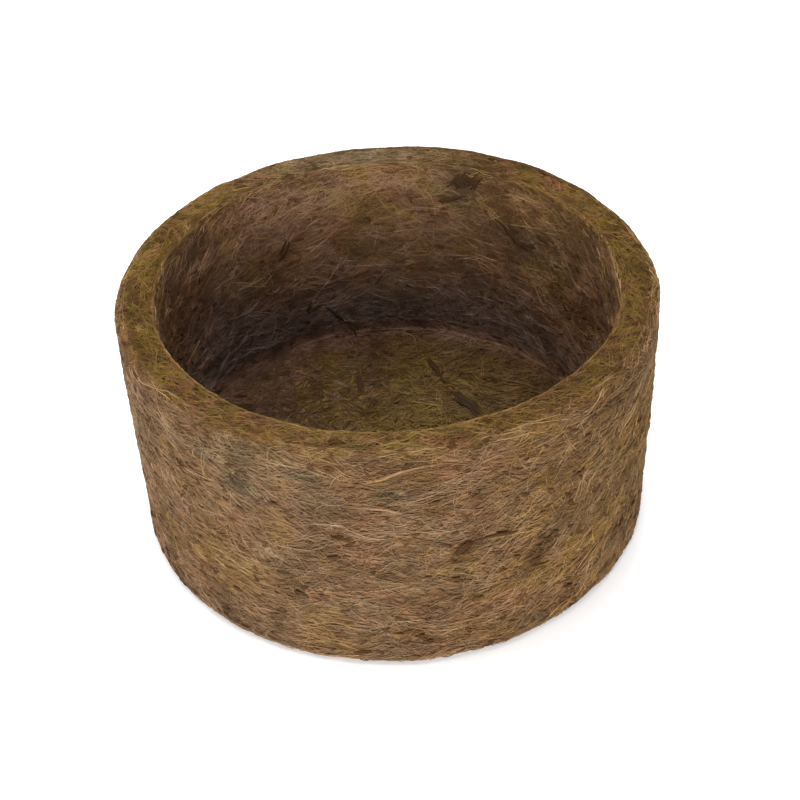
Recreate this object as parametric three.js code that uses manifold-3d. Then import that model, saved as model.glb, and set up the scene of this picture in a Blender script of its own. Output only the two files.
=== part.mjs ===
// Coir pot: a round, open-topped plant pot pressed from plies of coconut-fibre felt bonded with latex.
// The wall is three felt strips, one inside the other, each closed into a ring by a seam of its own.
// The base is three felt discs with a pad of finer felt laid on top.
// Millimetres, +Z up, with the origin at the middle of the underside. +Y is the back of the pot.
import * as THREE from "three";
import { mergeVertices } from "three/addons/utils/BufferGeometryUtils.js";
import Module from "manifold-3d";

// Driving dimensions
const RIM_DIAMETER = 200; // outer face of the wall, carried up to the height of the rim
const BASE_DIAMETER = 194; // outer face of the wall, carried down to the ground
const HEIGHT = 100;
const OUTER_PLY = 5.2; // felt of the outer strip and of the disc under the base
const CORE_PLY = 4.6; // coarse batt inside the wall, whose edge shows on the rim
const INNER_PLY = 3.6; // felt of the inner strip and of the disc that it stands on
const BASE_CORE_PLY = 5.3; // coarse batt inside the base
const PAD_PLY = 5.0; // pad that makes the floor
const BOND = 0.3; // latex bond line between plies, and between the two ends of a strip
const RIM_ROUND = 4.8; // rounding of the rim's outer edge
const LIP_ROUND = 2.8; // rounding of the rim's inner edge
const FOOT_ROUND = 4.2; // rounding where the wall turns under the base
const PAD_ROUND = 2.5; // rounding of the pad's upper edge
const HEM = 8.5; // how far the outer strip is turned in under the wall's other plies
const HEM_BEVEL = 5.0; // run of the slope on which the underside disc sits in the hem
const SCARF = 24; // length around the wall over which the two ends of a strip are thinned and lapped
const OUTER_SEAM = 90; // where each strip's seam stands, in degrees from +X, never in line with another
const INNER_SEAM = 270;
const CORE_SEAM = 180;

// Fineness of the round faces
const TURN_STEPS = 72;
const ROUND_STEPS = 5;
const CUT_OVERRUN = 2; // how far a seam's cut runs past the faces of its strip

const degrees = THREE.MathUtils.degToRad;
const lean = Math.atan((RIM_DIAMETER - BASE_DIAMETER) / 2 / HEIGHT);

// Radius of the wall's outer face at a height, and of a face that lies deeper in the wall.
function faceAt(height, depth = 0) {
  return BASE_DIAMETER / 2 + height * Math.tan(lean) - depth;
}

// Depths into the wall, from its outer face
const coreDepth = OUTER_PLY + BOND;
const coreBack = coreDepth + CORE_PLY;
const innerDepth = coreBack + BOND;
const wallDepth = innerDepth + INNER_PLY;

// Heights of the base's plies, from the ground up
const baseCoreLow = OUTER_PLY + BOND;
const baseCoreTop = baseCoreLow + BASE_CORE_PLY;
const baseInnerLow = baseCoreTop + BOND;
const baseInnerTop = baseInnerLow + INNER_PLY;
const padLow = baseInnerTop + BOND;
const floorTop = padLow + PAD_PLY;

// A rounding is never deeper than the felt that carries it.
const rimRound = Math.min(RIM_ROUND, OUTER_PLY - BOND);
const lipRound = Math.min(LIP_ROUND, INNER_PLY - BOND);
const footRound = Math.min(FOOT_ROUND, OUTER_PLY - BOND);
const padRound = Math.min(PAD_ROUND, PAD_PLY - BOND);

const wasm = await Module();
wasm.setup();

// Points of an arc in the outline's plane, between two angles in radians.
function arc(radius, height, round, from, to) {
  const points = [];
  for (let i = 0; i <= ROUND_STEPS; i++) {
    const angle = from + ((to - from) * i) / ROUND_STEPS;
    points.push([radius + round * Math.cos(angle), height + round * Math.sin(angle)]);
  }
  return points;
}

// Turns an outline of [radius, height] points about the pot's upright axis.
function turned(outline) {
  const points = outline.map(([radius, height]) => new THREE.Vector2(radius, height));
  return new THREE.LatheGeometry(points, TURN_STEPS).rotateX(Math.PI / 2);
}

// Turns an outline that doesn't touch the axis into a closed ring.
function turnedRing(outline) {
  return turned([...outline, outline[0]]);
}

// The solid of a closed geometry, for cutting.
function solidOf(geometry) {
  const bare = geometry.clone();
  bare.deleteAttribute("normal");
  bare.deleteAttribute("uv");
  const merged = mergeVertices(bare);
  return new wasm.Manifold(
    new wasm.Mesh({
      numProp: 3,
      vertProperties: merged.attributes.position.array,
      triVerts: new Uint32Array(merged.index.array),
    }),
  );
}

// The geometry of a solid after cutting.
function geometryOf(solid) {
  const mesh = solid.getMesh();
  const geometry = new THREE.BufferGeometry();
  geometry.setAttribute("position", new THREE.BufferAttribute(mesh.vertProperties, mesh.numProp));
  geometry.setIndex(new THREE.BufferAttribute(mesh.triVerts, 1));
  geometry.computeVertexNormals();
  return geometry;
}

// A point in plan, from a radius and an angle in radians.
function inPlan(radius, angle) {
  return new THREE.Vector2(radius * Math.cos(angle), radius * Math.sin(angle));
}

// An upright cut as wide as a bond line, along three points in plan.
function slit(start, bend, end) {
  const offset = (from, to) =>
    new THREE.Vector2(from.y - to.y, to.x - from.x).setLength(BOND / 2);
  const first = offset(start, bend);
  const last = offset(bend, end);
  const middle = first.clone().add(last);
  middle.setLength(BOND ** 2 / 2 / middle.length());
  const shape = new THREE.Shape([
    start.clone().sub(first),
    bend.clone().sub(middle),
    end.clone().sub(last),
    end.clone().add(last),
    bend.clone().add(middle),
    start.clone().add(first),
  ]);
  const cut = new THREE.ExtrudeGeometry(shape, {
    depth: HEIGHT + 2 * CUT_OVERRUN,
    bevelEnabled: false,
  });
  return cut.translate(0, 0, -CUT_OVERRUN);
}

// Opens a ring at a scarf seam: its ends taper past each other, and then part straight towards the axis.
function seamed(ring, seam, depth, thickness, reach) {
  const outside = faceAt(HEIGHT, depth) + CUT_OVERRUN;
  const inside = faceAt(0, depth + thickness) - CUT_OVERRUN;
  const half = SCARF / (outside + inside);
  const start = inPlan(outside, degrees(seam) - half);
  const bend = inPlan(inside, degrees(seam) + half);
  const end = inPlan(inside - reach - CUT_OVERRUN, degrees(seam) + half);
  return geometryOf(solidOf(ring).subtract(solidOf(slit(start, bend, end))));
}

const hemEdge = faceAt(0, coreDepth) - HEM;

// Outer strip: it wraps the wall, rounds over the rim, and turns in under the base as a bevelled hem.
function outerWallSheet() {
  const footCentre = faceAt(footRound) - footRound / Math.cos(lean);
  const rimCentre = faceAt(HEIGHT - rimRound) - rimRound / Math.cos(lean);
  const ring = turnedRing([
    [hemEdge, 0],
    ...arc(footCentre, footRound, footRound, -Math.PI / 2, -lean),
    ...arc(rimCentre, HEIGHT - rimRound, rimRound, -lean, Math.PI / 2),
    [faceAt(HEIGHT, OUTER_PLY), HEIGHT],
    [faceAt(OUTER_PLY, OUTER_PLY), OUTER_PLY],
    [hemEdge + HEM_BEVEL, OUTER_PLY],
  ]);
  return seamed(ring, OUTER_SEAM, 0, OUTER_PLY, HEM + BOND);
}

// Batt inside the wall: it runs from the disc under the base up to the rim, where its edge shows.
function coreWallBatt() {
  const ring = turnedRing([
    [faceAt(baseCoreLow, coreBack), baseCoreLow],
    [faceAt(baseCoreLow, coreDepth), baseCoreLow],
    [faceAt(HEIGHT, coreDepth), HEIGHT],
    [faceAt(HEIGHT, coreBack), HEIGHT],
  ]);
  return seamed(ring, CORE_SEAM, coreDepth, CORE_PLY, BOND);
}

// Inner strip: it stands on the disc under the pad, lines the wall and rounds off the lip.
function innerWallSheet() {
  const lipCentre = faceAt(HEIGHT - lipRound, wallDepth) + lipRound / Math.cos(lean);
  const ring = turnedRing([
    [faceAt(padLow, wallDepth), padLow],
    [faceAt(padLow, innerDepth), padLow],
    [faceAt(HEIGHT, innerDepth), HEIGHT],
    ...arc(lipCentre, HEIGHT - lipRound, lipRound, Math.PI / 2, Math.PI - lean),
  ]);
  return seamed(ring, INNER_SEAM, innerDepth, INNER_PLY, BOND);
}

// Disc under the base: its sloped edge seats in the hem from above, flush with the ground and the hem.
function baseOuterDisc() {
  return turned([
    [0, 0],
    [hemEdge - BOND, 0],
    [hemEdge + HEM_BEVEL - BOND, OUTER_PLY],
    [0, OUTER_PLY],
  ]);
}

// A disc that fills the wall from side to side between two heights, inside a face at a depth.
function fillingDisc(depth, low, top) {
  return turned([
    [0, low],
    [faceAt(low, depth + BOND), low],
    [faceAt(top, depth + BOND), top],
    [0, top],
  ]);
}

// Pad on the floor, with its upper edge rounded off against the wall.
function floorPad() {
  const edge = faceAt(floorTop, wallDepth + BOND) - padRound;
  return turned([
    [0, padLow],
    [faceAt(padLow, wallDepth + BOND), padLow],
    ...arc(edge, floorTop - padRound, padRound, -lean, Math.PI / 2),
    [0, floorTop],
  ]);
}

// Felt is dull all over, so its finishes differ only in colour.
function felt(colour) {
  return new THREE.MeshStandardMaterial({ color: colour, roughness: 0.95, metalness: 0 });
}

const wallFelt = felt("#8a6a48");
const innerFelt = felt("#7d5e3d");
const rimBatt = felt("#7f6132");
const floorFelt = felt("#6b5a2c");

const pot = new THREE.Group();

function addPly(name, geometry, material) {
  const ply = new THREE.Mesh(geometry, material);
  ply.name = name;
  pot.add(ply);
}

addPly("outer_wall_sheet", outerWallSheet(), wallFelt);
addPly("core_wall_batt", coreWallBatt(), rimBatt);
addPly("inner_wall_sheet", innerWallSheet(), innerFelt);
addPly("base_outer_disc", baseOuterDisc(), wallFelt);
addPly("base_core_disc", fillingDisc(coreBack, baseCoreLow, baseCoreTop), rimBatt);
addPly("base_inner_disc", fillingDisc(coreBack, baseInnerLow, baseInnerTop), innerFelt);
addPly("floor_pad", floorPad(), floorFelt);

export default pot;
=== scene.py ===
"""Coir pot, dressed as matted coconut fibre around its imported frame.

Each ply of the pot is a felt body with a pressed, uneven skin. Strands of coir lie over the faces that show,
in locks that follow a slow drift, with flecks of dark husk caught among them.
The pot is worked out in millimetres, and its meshes and finishes are set in metres, as the studio is.
+Z is up, and +Y is the back of the pot.
"""

from __future__ import annotations

import itertools
import logging
import math
from collections.abc import Sequence
from dataclasses import dataclass, field, replace
from enum import Enum
from functools import partial
from typing import ClassVar

import bpy
import numpy as np
from mathutils import Matrix, Vector


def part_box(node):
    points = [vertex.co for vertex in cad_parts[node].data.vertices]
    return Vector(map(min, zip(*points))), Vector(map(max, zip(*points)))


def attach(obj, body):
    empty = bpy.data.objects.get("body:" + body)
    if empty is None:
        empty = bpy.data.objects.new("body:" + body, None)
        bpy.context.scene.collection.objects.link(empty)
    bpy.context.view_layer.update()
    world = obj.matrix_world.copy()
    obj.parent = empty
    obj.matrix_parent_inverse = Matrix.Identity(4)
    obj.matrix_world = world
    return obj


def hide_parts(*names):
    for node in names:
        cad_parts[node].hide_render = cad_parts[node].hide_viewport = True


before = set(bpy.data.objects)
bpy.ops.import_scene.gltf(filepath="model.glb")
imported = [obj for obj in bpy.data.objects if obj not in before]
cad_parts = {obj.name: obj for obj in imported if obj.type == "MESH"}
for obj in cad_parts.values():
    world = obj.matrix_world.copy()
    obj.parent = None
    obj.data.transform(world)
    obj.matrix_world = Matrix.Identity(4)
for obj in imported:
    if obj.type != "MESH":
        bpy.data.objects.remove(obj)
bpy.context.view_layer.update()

LOG = logging.getLogger("coir_pot")
BODY = "root"
BAKE_MAP = "OFBake"
MM = 0.001
TURN = 2 * math.pi
TINY = 1e-12

Array = np.ndarray
Socket = bpy.types.NodeSocket
Colour = tuple[float, float, float]
Tints = tuple[Colour, Colour, Colour]
Place = tuple[float, float, float]
Point = tuple[float, float]
Span = tuple[float, float]


class Slot(Enum):
    """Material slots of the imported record."""

    WALL = "wall_felt"
    RIM = "rim_batt"
    LINING = "lining_felt"
    FLOOR = "floor_felt"


class Stain(Enum):
    """What lies over the felt's own tint: three tints that cover it, and a shade that darkens it, or pales it
    below 0. Laid by chance, the shade is the felt's own uneven tone; many patches and bands of it are painted
    shade and painted light.
    """

    MOSS = 0
    STRAW = 1
    RUST = 2
    SHADE = 3


class Measure(Enum):
    """What a band on a face, or a level on a path, is measured by."""

    HEIGHT = "height"
    RADIUS = "radius"

    def of(self, places: Array) -> Array:
        """The measure at each place."""
        return places[..., 2] if self is Measure.HEIGHT else np.hypot(places[..., 0], places[..., 1])


class SmoothNoise:
    """Smooth seeded noise over points in space, about -1 to 1."""

    CELLS = 256
    GAIN = 1.6

    def __init__(self, seed: int) -> None:
        """Draws the slopes at the corners of the noise's cells.

        Args:
            seed: Sets the noise, which is the same each run.
        """
        rng = np.random.default_rng(seed)
        slopes = rng.normal(size=(self.CELLS, 3))
        self._order = rng.permutation(self.CELLS)
        self._slopes = slopes / np.linalg.norm(slopes, axis=1, keepdims=True)

    def __call__(self, points: Array) -> Array:
        """Reads the noise.

        Args:
            points: Places, with x, y and z along the last axis.

        Returns:
            One value for each place.
        """
        cell = np.floor(points).astype(int)
        part = points - cell
        ease = part**3 * (part * (part * 6 - 15) + 10)
        total = np.zeros(points.shape[:-1])
        for corner in itertools.product((0, 1), repeat=3):
            weight = np.prod(np.where(corner, ease, 1 - ease), axis=-1)
            slope = self._slopes[self._index(cell + np.array(corner))]
            total += weight * np.sum(slope * (part - np.array(corner)), axis=-1)
        return total * self.GAIN

    def _index(self, cell: Array) -> Array:
        """Finds the slopes of cell corners.

        Args:
            cell: The corners' whole-numbered places.

        Returns:
            The number of each corner's slope.
        """
        found = np.zeros(cell.shape[:-1], int)
        for axis in range(3):
            found = self._order[(found + cell[..., axis]) % self.CELLS]
        return found


@dataclass(frozen=True)
class Grain:
    """One size of variation in the felt.

    The felt was laid around the pot, so its grain is longer that way than upwards.
    """

    amount: float
    around: float
    rise: float
    seed: int

    def at(self, places: Array) -> Array:
        """The variation at each place."""
        reach = np.array([self.around, self.around, self.rise])
        return self.amount * SmoothNoise(self.seed)(places / reach)


RELIEF = (
    Grain(amount=0.40, around=46, rise=30, seed=11),
    Grain(amount=0.42, around=16, rise=8, seed=12),
)
BED_DEPTH = 0.45
GROUND_GAP = 0.25
PRESSED_GAP = 0.02


def relief(places: Array) -> Array:
    """The felt's unevenness at places on the pot's skin, outwards."""
    return sum(grain.at(places) for grain in RELIEF)


def above_ground(places: Array, gap: float = GROUND_GAP) -> Array:
    """Presses places that would be closer to the ground than a gap up to it."""
    return np.concatenate([places[..., :2], np.maximum(places[..., 2:], gap)], axis=-1)


def top_of(node: str) -> float:
    """Height of the top of a packed ply."""
    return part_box(node)[1].z / MM


def foot_of(node: str) -> float:
    """Height of the foot of a packed ply."""
    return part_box(node)[0].z / MM


@dataclass(frozen=True)
class PotSizes:
    """Sizes of the pot's skin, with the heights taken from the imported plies."""

    rim_radius: float = 100.0
    base_radius: float = 97.0
    outer_ply: float = 5.2
    core_ply: float = 4.6
    inner_ply: float = 3.6
    bond: float = 0.3
    rim_round: float = 4.8
    foot_round: float = 4.2
    lip_round: float = 2.8
    pad_round: float = 2.5
    hem: float = 8.5
    height: float = field(default_factory=lambda: top_of("outer_wall_sheet"))
    floor: float = field(default_factory=lambda: top_of("floor_pad"))
    pad_foot: float = field(default_factory=lambda: foot_of("floor_pad"))

    @property
    def lean(self) -> float:
        """How far the wall leans out from upright, in radians."""
        return math.atan((self.rim_radius - self.base_radius) / self.height)

    @property
    def core_depth(self) -> float:
        """Depth of the middle of the bond between the outer strip and the batt."""
        return self.outer_ply + self.bond / 2

    @property
    def lining_depth(self) -> float:
        """Depth of the middle of the bond between the batt and the inner strip."""
        return self.core_depth + self.core_ply + self.bond

    @property
    def wall(self) -> float:
        """Thickness of the whole wall."""
        return self.lining_depth + self.bond / 2 + self.inner_ply

    @property
    def hem_edge(self) -> float:
        """Radius of the seam between the hem and the disc under the base."""
        return self.face_at(0, self.outer_ply + self.bond) - self.hem

    def face_at(self, height: float, depth: float = 0.0) -> float:
        """Radius of the wall's outer face, or of a face that lies deeper in it.

        Args:
            height: Height over the ground.
            depth: Distance into the wall.

        Returns:
            The radius there.
        """
        return self.base_radius + height * math.tan(self.lean) - depth


def arc(centre: Point, radius: float, start: float, end: float, steps: int = 12) -> list[Point]:
    """Points of an arc in the plane of radius and height.

    Args:
        centre: Centre of the arc.
        radius: Its radius.
        start: Angle of its first point, in radians from outwards.
        end: Angle of its last point.
        steps: Number of straight steps in it.

    Returns:
        The points, in order.
    """
    angles = [start + (end - start) * i / steps for i in range(steps + 1)]
    return [(centre[0] + radius * math.cos(a), centre[1] + radius * math.sin(a)) for a in angles]


class Outline:
    """A line in the plane of radius and height, with the felt on its left hand."""

    FINE = 0.2
    FEWEST = 8

    def __init__(self, corners: Sequence[Point]) -> None:
        """Walks the line in fine even steps.

        Args:
            corners: Its corners, in order.
        """
        line = np.array(corners)
        run = np.concatenate([[0], np.cumsum(np.linalg.norm(np.diff(line, axis=0), axis=1))])
        self.length = float(run[-1])
        self.run = np.linspace(0, self.length, max(self.FEWEST, int(self.length / self.FINE)))
        self.radius = np.interp(self.run, run, line[:, 0])
        self.height = np.interp(self.run, run, line[:, 1])
        way = np.stack([np.gradient(self.radius), np.gradient(self.height)], axis=1)
        way /= np.linalg.norm(way, axis=1, keepdims=True)
        self.out_normal, self.up_normal = way[:, 1], -way[:, 0]

    def read(self, run: Array) -> tuple[Array, Array, Array, Array]:
        """Reads the line at lengths along it.

        Args:
            run: Lengths from its start.

        Returns:
            Radius, height, and the outward and upward parts of the normal.
        """
        columns = (self.radius, self.height, self.out_normal, self.up_normal)
        return tuple(np.interp(run, self.run, column) for column in columns)


class Outlines:
    """The outlines of the pot's faces, each drawn with the felt on its left hand."""

    RIM_START = math.radians(40)
    WALL_END = math.radians(74)
    RIM_CREST = math.radians(82)
    LINING_START = math.radians(130)
    LIP_END = math.radians(155)
    BASE_HOLLOW = 0.8
    CREASE_ROUND = 4.0

    def __init__(self, sizes: PotSizes) -> None:
        """Keeps the sizes that the outlines are drawn from."""
        self.sizes = sizes

    def underside(self) -> Outline:
        """From the middle of the base out to the hem's seam, a little clear of the ground."""
        return Outline([(0.0, self.BASE_HOLLOW), (self.sizes.hem_edge, self.BASE_HOLLOW)])

    def outer(self) -> Outline:
        """Draws the outer strip's showing face.

        Returns:
            The line from the hem's seam, round the foot, up the wall and over the rim's outer edge.
        """
        s = self.sizes
        end = (s.face_at(s.height, s.core_depth), s.height)
        return Outline([*self._foot(), *self._rim(), end])

    def outer_coat(self) -> Outline:
        """Where the outer strip's strands lie: as far as the rim's own strands, which lap over their ends."""
        return Outline([*self._foot(), *self._rim(end=self.WALL_END)])

    def core(self) -> Outline:
        """Draws the batt's showing face.

        Returns:
            The line across the top of the rim.
        """
        s = self.sizes
        depths = (s.core_depth, s.lining_depth)
        return Outline([(s.face_at(s.height, depth), s.height) for depth in depths])

    def lining(self) -> Outline:
        """Draws the inner strip's showing face.

        Returns:
            The line from the batt's edge over the lip and down the inside of the wall to the pad's foot.
        """
        s = self.sizes
        start = (s.face_at(s.height, s.lining_depth), s.height)
        return Outline([start, *self._lip(), self._lining_foot()])

    def lining_coat(self) -> Outline:
        """Where the inner strip's strands lie: from under the rim's own strands down to the pad's foot."""
        return Outline([*self._lip(self.LINING_START), self._lining_foot()])

    def rim(self) -> Outline:
        """The top of the rim, from partway over its outer edge to partway over its inner one."""
        return Outline([*self._rim(self.RIM_START), *self._lip(end=self.LIP_END)])

    def lip(self) -> Outline:
        """The rim's inner edge alone."""
        return Outline(self._lip(end=self.LIP_END))

    def rim_edge(self) -> Outline:
        """The rim's outer edge alone."""
        return Outline(self._rim(self.RIM_START, self.RIM_CREST))

    def pad(self) -> Outline:
        """Draws the pad's showing face.

        Returns:
            The line from the pad's edge against the wall in to the middle of the floor.
        """
        s = self.sizes
        edge = s.face_at(s.floor, s.wall)
        centre = (edge - s.pad_round, s.floor - s.pad_round)
        return Outline([*arc(centre, s.pad_round, 0, math.pi / 2), (0.0, s.floor)])

    def crease(self) -> Outline:
        """Draws the hollow where strands bridge the corner between the wall and the pad.

        Returns:
            The line from the wall round to the pad.
        """
        s = self.sizes
        centre = (s.face_at(s.floor, s.wall) - self.CREASE_ROUND, s.floor + self.CREASE_ROUND)
        return Outline(arc(centre, self.CREASE_ROUND, 0, -math.pi / 2))

    def _foot(self) -> list[Point]:
        """Draws the foot, where the wall turns under the base.

        Returns:
            The hem's seam and the points of the rounding.
        """
        s = self.sizes
        centre = (s.face_at(s.foot_round) - s.foot_round / math.cos(s.lean), s.foot_round)
        return [(s.hem_edge, self.BASE_HOLLOW), *arc(centre, s.foot_round, -math.pi / 2, -s.lean)]

    def _rim(self, start: float | None = None, end: float = math.pi / 2) -> list[Point]:
        """Draws the rounding of the rim's outer edge.

        Args:
            start: Angle of its first point, in radians from outwards, or none for the wall's own.
            end: Angle of its last point.

        Returns:
            Its points, from the wall upwards.
        """
        s = self.sizes
        low = s.height - s.rim_round
        centre = (s.face_at(low) - s.rim_round / math.cos(s.lean), low)
        return arc(centre, s.rim_round, -s.lean if start is None else start, end)

    def _lip(self, start: float = math.pi / 2, end: float | None = None) -> list[Point]:
        """Draws the rounding of the rim's inner edge.

        Args:
            start: Angle of its first point, in radians from outwards.
            end: Angle of its last point, or none for the wall's own.

        Returns:
            Its points, from the top of the rim downwards.
        """
        s = self.sizes
        low = s.height - s.lip_round
        centre = (s.face_at(low, s.wall) + s.lip_round / math.cos(s.lean), low)
        return arc(centre, s.lip_round, start, math.pi - s.lean if end is None else end)

    def _lining_foot(self) -> Point:
        """Where the inner strip meets the disc under the pad."""
        return self.sizes.face_at(self.sizes.pad_foot, self.sizes.wall), self.sizes.pad_foot


class WrapFace:
    """A face that goes round the pot. A spot on it is an angle and a length along its outline."""

    def __init__(
        self, outline: Outline, sector: Span = (0.0, 360.0), levels: Measure = Measure.HEIGHT
    ) -> None:
        """Keeps the face's outline.

        Args:
            outline: The outline, from one edge of the face to the other.
            sector: Angles in degrees between which spots are drawn.
            levels: What the levels of a path on the face are measured by.
        """
        self.outline = outline
        self.sector = np.radians(sector)
        self.levels = outline.height if levels is Measure.HEIGHT else outline.radius

    def draw(self, rng: np.random.Generator, count: int) -> tuple[Array, Array]:
        """Draws spots evenly over the face.

        Args:
            rng: Source of the draws.
            count: Number of spots.

        Returns:
            Their angles and their lengths along the outline.
        """
        return rng.uniform(*self.sector, count), rng.uniform(0, self.outline.length, count)

    def find(self, path: Sequence[Point]) -> tuple[Array, Array]:
        """Finds the spots of a path.

        Args:
            path: Angles from +X in degrees, each with a level.

        Returns:
            Their angles and their lengths along the outline.
        """
        angles, levels = np.array(path).T
        order = np.argsort(self.levels)
        return np.radians(angles), np.interp(levels, self.levels[order], self.outline.run[order])

    def spot(self, angle: Array, run: Array) -> tuple[Array, Array]:
        """Finds spots in space.

        Args:
            angle: Angles from +X, in radians.
            run: Lengths along the outline.

        Returns:
            The places on the even skin, and its normals there.
        """
        radius, height, outwards, upwards = self.outline.read(run)
        places = np.stack([radius * np.cos(angle), radius * np.sin(angle), height], axis=-1)
        normals = np.stack([outwards * np.cos(angle), outwards * np.sin(angle), upwards], axis=-1)
        return places, normals

    def step(self, angle: Array, run: Array, heading: Array, stride: Array) -> tuple[Array, Array]:
        """Moves spots over the face, turning back those that would pass its edges.

        Args:
            angle: Their angles.
            run: Their lengths along the outline.
            heading: Way of each step, in radians from the way round the pot.
            stride: Length of each step.

        Returns:
            The new angles and lengths.
        """
        radius = self.outline.read(run)[0]
        moved = np.abs(run + stride * np.sin(heading))
        kept = self.outline.length - np.abs(self.outline.length - moved)
        return angle + stride * np.cos(heading) / radius, kept


class DiscFace:
    """A round flat face. A spot on it is its x and y."""

    MIDDLE = 1.0

    def __init__(self, outline: Outline) -> None:
        """Sorts the face's outline by radius.

        Args:
            outline: Line between the middle of the face and its edge.
        """
        order = np.argsort(outline.radius)
        self.radius = outline.radius[order]
        self.height = outline.height[order]
        self.out_normal = outline.out_normal[order]
        self.up_normal = outline.up_normal[order]
        self.edge = float(self.radius[-1])

    def draw(self, rng: np.random.Generator, count: int) -> tuple[Array, Array]:
        """Draws spots evenly over the face.

        Args:
            rng: Source of the draws.
            count: Number of spots.

        Returns:
            Their x and y.
        """
        radius = self.edge * np.sqrt(rng.uniform(0, 1, count))
        angle = rng.uniform(0, TURN, count)
        return radius * np.cos(angle), radius * np.sin(angle)

    def find(self, path: Sequence[Point]) -> tuple[Array, Array]:
        """Finds the x and y of a path that is given by them."""
        return tuple(np.array(path).T)

    def spot(self, x: Array, y: Array) -> tuple[Array, Array]:
        """Finds spots in space.

        Args:
            x: Distances towards +X.
            y: Distances towards +Y.

        Returns:
            The places on the even skin, and its normals there.
        """
        radius = np.hypot(x, y)
        columns = (self.height, self.out_normal, self.up_normal)
        height, outwards, upwards = (np.interp(radius, self.radius, column) for column in columns)
        away = np.maximum(radius, self.radius[1])
        places = np.stack([x, y, height], axis=-1)
        return places, np.stack([outwards * x / away, outwards * y / away, upwards], axis=-1)

    def step(self, x: Array, y: Array, heading: Array, stride: Array) -> tuple[Array, Array]:
        """Moves spots over the face, turning back those that would pass its edge.

        Args:
            x: Their distances towards +X.
            y: Their distances towards +Y.
            heading: Way of each step, in radians from +X.
            stride: Length of each step.

        Returns:
            The new x and y.
        """
        x, y = x + stride * np.cos(heading), y + stride * np.sin(heading)
        shrink = np.minimum(1, 2 * self.edge / np.maximum(np.hypot(x, y), self.MIDDLE) - 1)
        return x * shrink, y * shrink


Face = WrapFace | DiscFace


@dataclass(frozen=True)
class Patch:
    """A stain, a painted shade or a painted light, laid on a face: its middle, how far it reaches, and its
    strength.
    """

    stain: Stain
    angle: float
    height: float
    around: float
    rise: float
    strength: float = 1.0

    def at(self, places: Array) -> Array:
        """Reads the patch, which fades from its middle.

        Args:
            places: Places on the pot.

        Returns:
            Its strength at each place.
        """
        radius = np.hypot(places[..., 0], places[..., 1])
        turned = np.arctan2(places[..., 1], places[..., 0]) - math.radians(self.angle)
        across = np.angle(np.exp(1j * turned)) * radius / self.around
        up = (places[..., 2] - self.height) / self.rise
        return self.strength * np.exp(-(across**2) - up**2)


@dataclass(frozen=True)
class Band:
    """A stain, a painted shade or a painted light along an edge of a face, which deepens from its start to
    where it is full.
    """

    stain: Stain
    measure: Measure
    start: float
    full: float
    strength: float = 1.0

    def at(self, places: Array) -> Array:
        """How far into the band each place is, from 0 at its start to 1 where it is full."""
        return (self.measure.of(places) - self.start) / (self.full - self.start)


@dataclass(frozen=True)
class StainsAndPaintedLight:
    """How stains, painted shade and painted light lie over a face: in listed patches, in bands along its
    edges, and by chance.
    """

    chance: tuple[float, ...] = (0.3, 0.45, 0.28, 0.25)
    reach: float = 20.0
    patches: tuple[Patch, ...] = ()
    bands: tuple[Band, ...] = ()
    seed: int = 40
    FINER: ClassVar[float] = 3.0
    RAGGED: ClassVar[float] = 0.5
    CONTRAST: ClassVar[float] = 1.5
    OFFSET: ClassVar[float] = 0.1

    def at(self, places: Array) -> Array:
        """Reads the strength of each stain.

        Args:
            places: Places on the pot.

        Returns:
            One value for each stain along the last axis, 1 at its full strength. A shade below 0 is pale.
        """
        found = np.zeros((*places.shape[:-1], len(Stain)))
        clear = np.ones(places.shape[:-1])
        fine_places = places / (self.reach / self.FINER)
        ragged = self.RAGGED * SmoothNoise(self.seed + 2 * len(Stain))(fine_places)
        for patch in self.patches:
            found[..., patch.stain.value] += patch.at(places) * (1 + ragged)
        for band in self.bands:
            amount = band.strength * np.clip(band.at(places) + ragged, 0, 1)
            found[..., band.stain.value] += amount
            if band.stain is not Stain.SHADE:
                clear = np.minimum(clear, 1 - amount)
        for stain in Stain:
            wide = SmoothNoise(self.seed + stain.value)(places / self.reach)
            small = SmoothNoise(self.seed + stain.value + len(Stain))(fine_places)
            spread = np.clip(self.CONTRAST * (wide + small) + self.OFFSET, 0, 1)
            chance = self.chance[stain.value] * spread
            found[..., stain.value] += chance if stain is Stain.SHADE else chance * clear
        return np.clip(found, -1, 1)


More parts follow.
